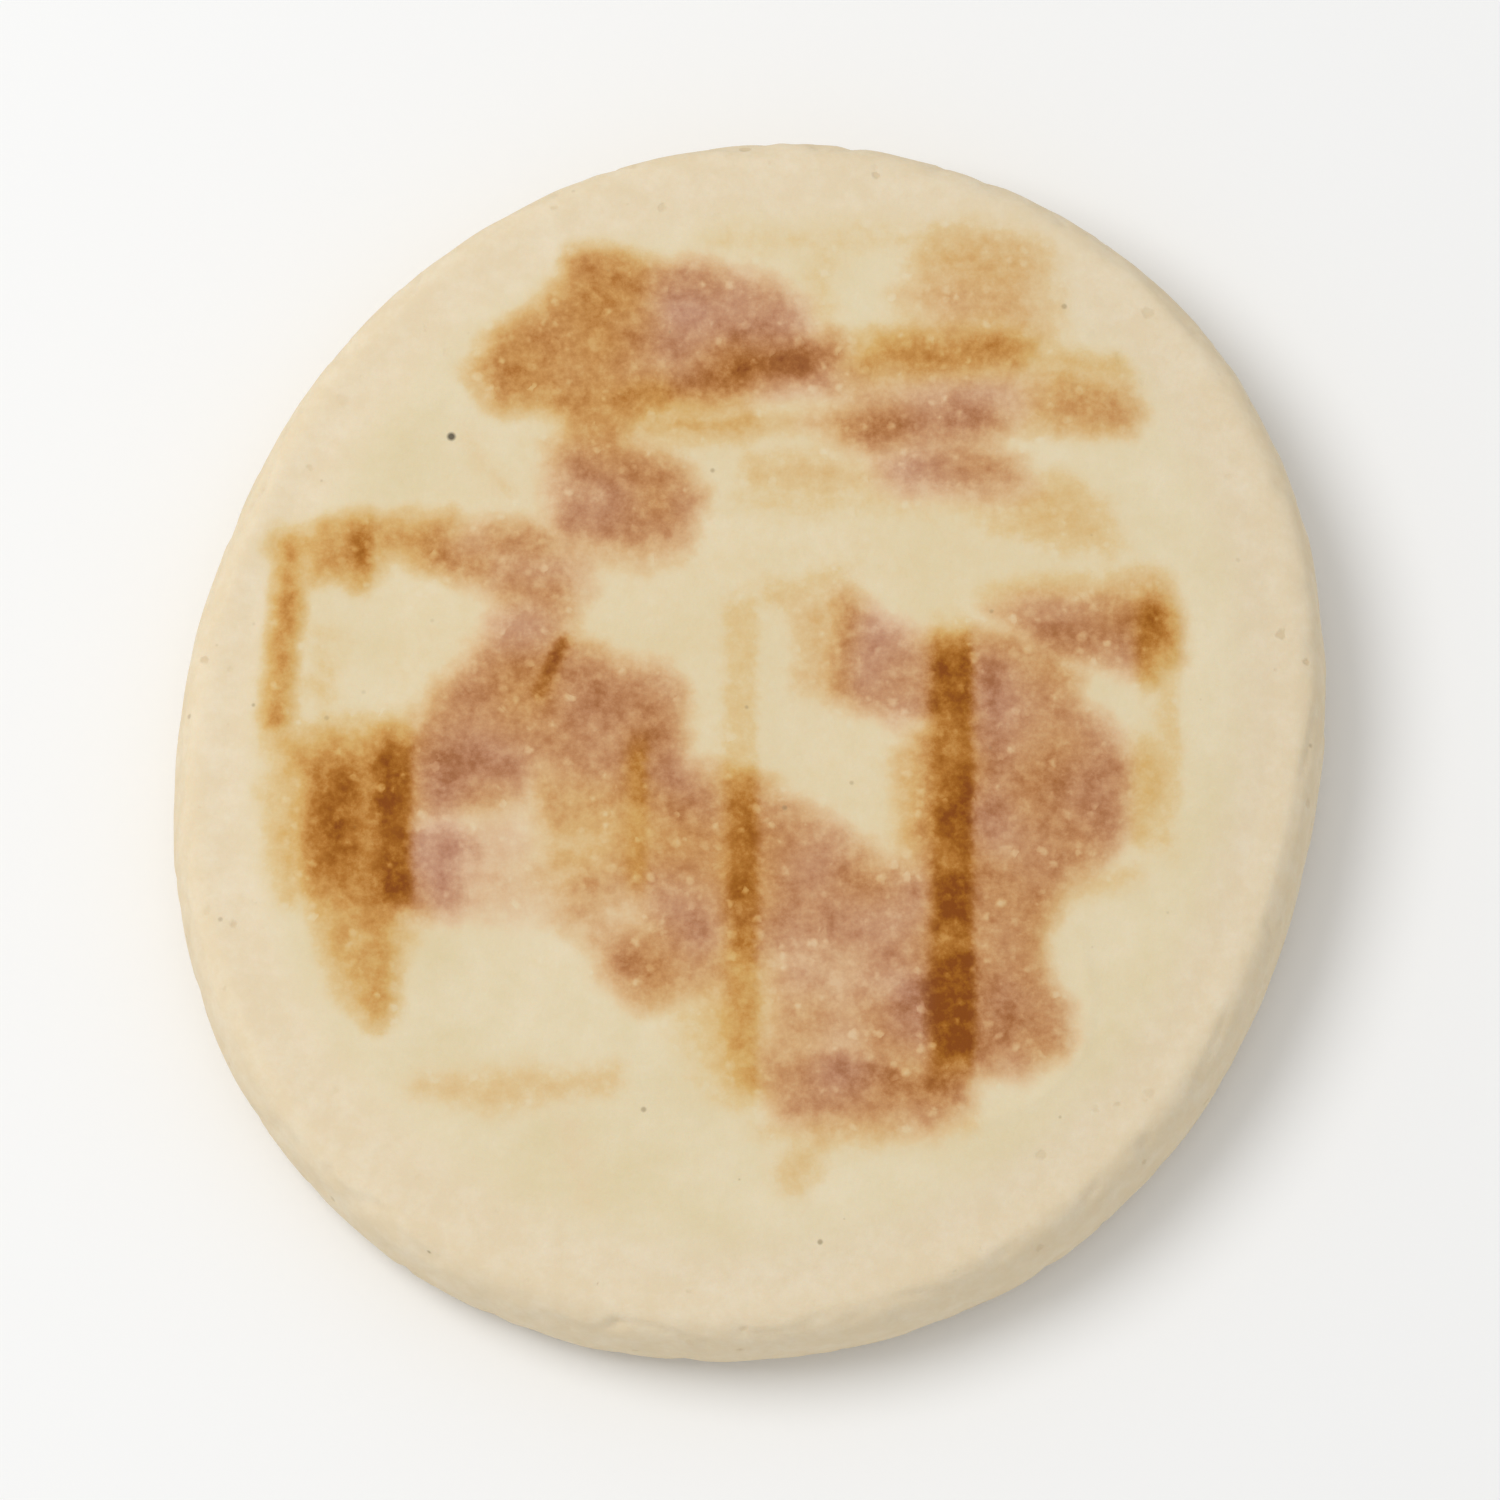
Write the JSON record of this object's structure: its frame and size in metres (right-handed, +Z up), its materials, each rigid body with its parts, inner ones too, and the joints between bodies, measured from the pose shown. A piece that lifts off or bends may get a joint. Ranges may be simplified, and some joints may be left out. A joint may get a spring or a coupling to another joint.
{
  "type": "tigella",
  "caption": "Small round flatbread with flat pressed faces, a pale matte crust, soft browned toast marks and a full rounded edge, made to be split and filled.",
  "frame": {"origin": "under the middle of the bread's outline, on the surface that it rests on", "axes": "+Z up through the bread's thickness, +Y away from the viewer across its longer width, +X to the right"},
  "size_m": [0.0988, 0.1074, 0.0125],
  "materials": {
    "crust": "dry matte baked crust, cream with soft brown toast marks"
  },
  "bodies": {
    "root": {"tigella": "crust"}
  },
  "joints": []
}
